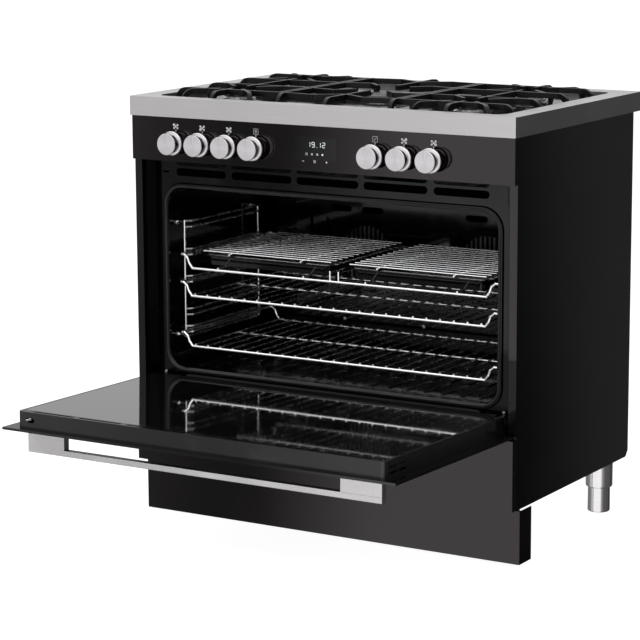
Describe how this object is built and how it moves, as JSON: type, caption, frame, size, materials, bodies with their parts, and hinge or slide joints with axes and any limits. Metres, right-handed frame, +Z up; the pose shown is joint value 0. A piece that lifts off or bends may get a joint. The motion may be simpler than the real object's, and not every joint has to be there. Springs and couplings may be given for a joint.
{
  "type": "range cooker",
  "caption": "Free-standing range cooker: gas hob with lift-off pan supports over one wide fan oven with a drop-down door, sliding shelves, turning knobs, legs and plinth.",
  "frame": {"origin": "middle of the cooker's box with its door open, on the floor", "axes": "+X to the right seen from the front, +Y from the door to the back, +Z up"},
  "size_m": [0.9, 1.038, 0.908],
  "materials": {
    "black_panel": "satin",
    "enamel": "gloss",
    "steel_frame": "brushed",
    "galvanised": "satin",
    "chrome_wire": "polished",
    "leg_steel": "satin",
    "knob_steel": "brushed face, polished sides",
    "handle_steel": "brushed",
    "hob_glass": "gloss",
    "door_glass": "gloss",
    "inner_glass": "gloss",
    "display": "gloss",
    "gasket": "matt",
    "lamp_glass": "clear",
    "element": "satin, heat stained",
    "wool": "fibrous",
    "motor": "satin",
    "brass": "satin",
    "switch_plastic": "matt",
    "burner_alu": "cast",
    "cap_enamel": "matt enamel",
    "ceramic": "glazed",
    "iron": "matt enamel",
    "hinge_steel": "satin",
    "door_steel": "gloss"
  },
  "bodies": {
    "cooker": {"side_panel_left": "black_panel", "side_panel_right": "black_panel", "back_panel": "galvanised", "base_frame": "galvanised", "legs": "leg_steel", "plinth": "black_panel", "lower_fascia": "black_panel", "control_fascia": "black_panel", "display_panel": "display", "front_frame": "enamel", "sill_strip": "black_panel", "oven_cavity": "enamel", "door_gasket": "gasket", "fan_cover": "enamel", "oven_lamps": "lamp_glass", "grill_element": "element", "heating_elements": "element", "side_racks": "chrome_wire", "insulation": "wool", "fan_motors": "motor", "cooling_duct": "galvanised", "gas_rail": "brass", "gas_valves": "brass", "oven_switches": "switch_plastic", "hob_frame": "steel_frame", "hob_plate": "hob_glass", "burner_bodies": "burner_alu", "burner_caps": "cap_enamel", "igniters": "ceramic", "hinge_arms": "hinge_steel", "gas_inlet": "brass", "terminal_box": "switch_plastic"},
    "door": {"door_glass": "door_glass", "door_frame": "door_steel", "door_inner_glass": "inner_glass", "handle_bar": "handle_steel", "handle_blocks": "handle_steel"},
    "fan_left": {"fan_left": "motor"},
    "fan_right": {"fan_right": "motor"},
    "blower_wheel": {"blower_wheel": "motor"},
    "shelf_low": {"shelf_low": "chrome_wire"},
    "shelf_mid": {"shelf_mid": "chrome_wire"},
    "tray_carrier": {"tray_carrier": "chrome_wire", "trays": "enamel", "tray_grids": "chrome_wire"},
    "pan_support_left": {"pan_support_left": "iron"},
    "pan_support_middle": {"pan_support_middle": "iron"},
    "pan_support_right": {"pan_support_right": "iron"},
    "knob_function": {"knob_function": "knob_steel"},
    "knob_thermostat": {"knob_thermostat": "knob_steel"},
    "push_1": {"push_collar_1": "brass"},
    "knob_gas_1": {"knob_gas_1": "knob_steel"},
    "push_2": {"push_collar_2": "brass"},
    "knob_gas_2": {"knob_gas_2": "knob_steel"},
    "push_3": {"push_collar_3": "brass"},
    "knob_gas_3": {"knob_gas_3": "knob_steel"},
    "push_4": {"push_collar_4": "brass"},
    "knob_gas_4": {"knob_gas_4": "knob_steel"},
    "push_5": {"push_collar_5": "brass"},
    "knob_gas_5": {"knob_gas_5": "knob_steel"}
  },
  "joints": [
    {"name": "door_hinge", "type": "hinge", "parent": "cooker", "child": "door", "pos_m": [0, -0.04148, 0.2817], "axis": [-1, 0, 0], "range_deg": [0, 88.8]},
    {"name": "push_1", "type": "slide", "parent": "cooker", "child": "push_1", "axis": [0, 1, 0], "range_m": [0, 0.003], "stiffness_N_per_m": 600, "springref_m": -0.004},
    {"name": "turn_gas_1", "type": "hinge", "parent": "push_1", "child": "knob_gas_1", "pos_m": [-0.337, -0.06198, 0.8025], "axis": [0, -1, 0], "range_deg": [0, 210]},
    {"name": "push_2", "type": "slide", "parent": "cooker", "child": "push_2", "axis": [0, 1, 0], "range_m": [0, 0.003], "stiffness_N_per_m": 600, "springref_m": -0.004},
    {"name": "turn_gas_2", "type": "hinge", "parent": "push_2", "child": "knob_gas_2", "pos_m": [-0.2715, -0.06198, 0.8025], "axis": [0, -1, 0], "range_deg": [0, 210]},
    {"name": "push_3", "type": "slide", "parent": "cooker", "child": "push_3", "axis": [0, 1, 0], "range_m": [0, 0.003], "stiffness_N_per_m": 600, "springref_m": -0.004},
    {"name": "turn_gas_3", "type": "hinge", "parent": "push_3", "child": "knob_gas_3", "pos_m": [-0.206, -0.06198, 0.8025], "axis": [0, -1, 0], "range_deg": [0, 210]},
    {"name": "push_4", "type": "slide", "parent": "cooker", "child": "push_4", "axis": [0, 1, 0], "range_m": [0, 0.003], "stiffness_N_per_m": 600, "springref_m": -0.004},
    {"name": "turn_gas_4", "type": "hinge", "parent": "push_4", "child": "knob_gas_4", "pos_m": [0.204, -0.06198, 0.8025], "axis": [0, -1, 0], "range_deg": [0, 210]},
    {"name": "push_5", "type": "slide", "parent": "cooker", "child": "push_5", "axis": [0, 1, 0], "range_m": [0, 0.003], "stiffness_N_per_m": 600, "springref_m": -0.004},
    {"name": "turn_gas_5", "type": "hinge", "parent": "push_5", "child": "knob_gas_5", "pos_m": [0.27, -0.06198, 0.8025], "axis": [0, -1, 0], "range_deg": [0, 210]},
    {"name": "turn_function", "type": "hinge", "parent": "cooker", "child": "knob_function", "pos_m": [-0.1405, -0.06198, 0.8025], "axis": [0, 1, 0], "range_deg": [0, 320]},
    {"name": "turn_thermostat", "type": "hinge", "parent": "cooker", "child": "knob_thermostat", "pos_m": [0.1385, -0.06198, 0.8025], "axis": [0, 1, 0], "range_deg": [0, 270]},
    {"name": "fan_left_spin", "type": "hinge", "parent": "cooker", "child": "fan_left", "pos_m": [-0.149, 0.41802, 0.516], "axis": [0, -1, 0], "continuous": true},
    {"name": "fan_right_spin", "type": "hinge", "parent": "cooker", "child": "fan_right", "pos_m": [0.149, 0.41802, 0.516], "axis": [0, -1, 0], "continuous": true},
    {"name": "blower_spin", "type": "hinge", "parent": "cooker", "child": "blower_wheel", "pos_m": [0, 0.32802, 0.75], "axis": [0, 0, 1], "continuous": true},
    {"name": "shelf_low_slide", "type": "slide", "parent": "cooker", "child": "shelf_low", "axis": [0, 1, 0], "range_m": [-0.25, 0]},
    {"name": "shelf_mid_slide", "type": "slide", "parent": "cooker", "child": "shelf_mid", "axis": [0, 1, 0], "range_m": [-0.25, 0]},
    {"name": "tray_carrier_slide", "type": "slide", "parent": "cooker", "child": "tray_carrier", "axis": [0, 1, 0], "range_m": [-0.25, 0]},
    {"name": "pan_support_left_lift", "type": "slide", "parent": "cooker", "child": "pan_support_left", "axis": [0, 0, 1], "range_m": [0, 0.12]},
    {"name": "pan_support_middle_lift", "type": "slide", "parent": "cooker", "child": "pan_support_middle", "axis": [0, 0, 1], "range_m": [0, 0.12]},
    {"name": "pan_support_right_lift", "type": "slide", "parent": "cooker", "child": "pan_support_right", "axis": [0, 0, 1], "range_m": [0, 0.12]}
  ]
}
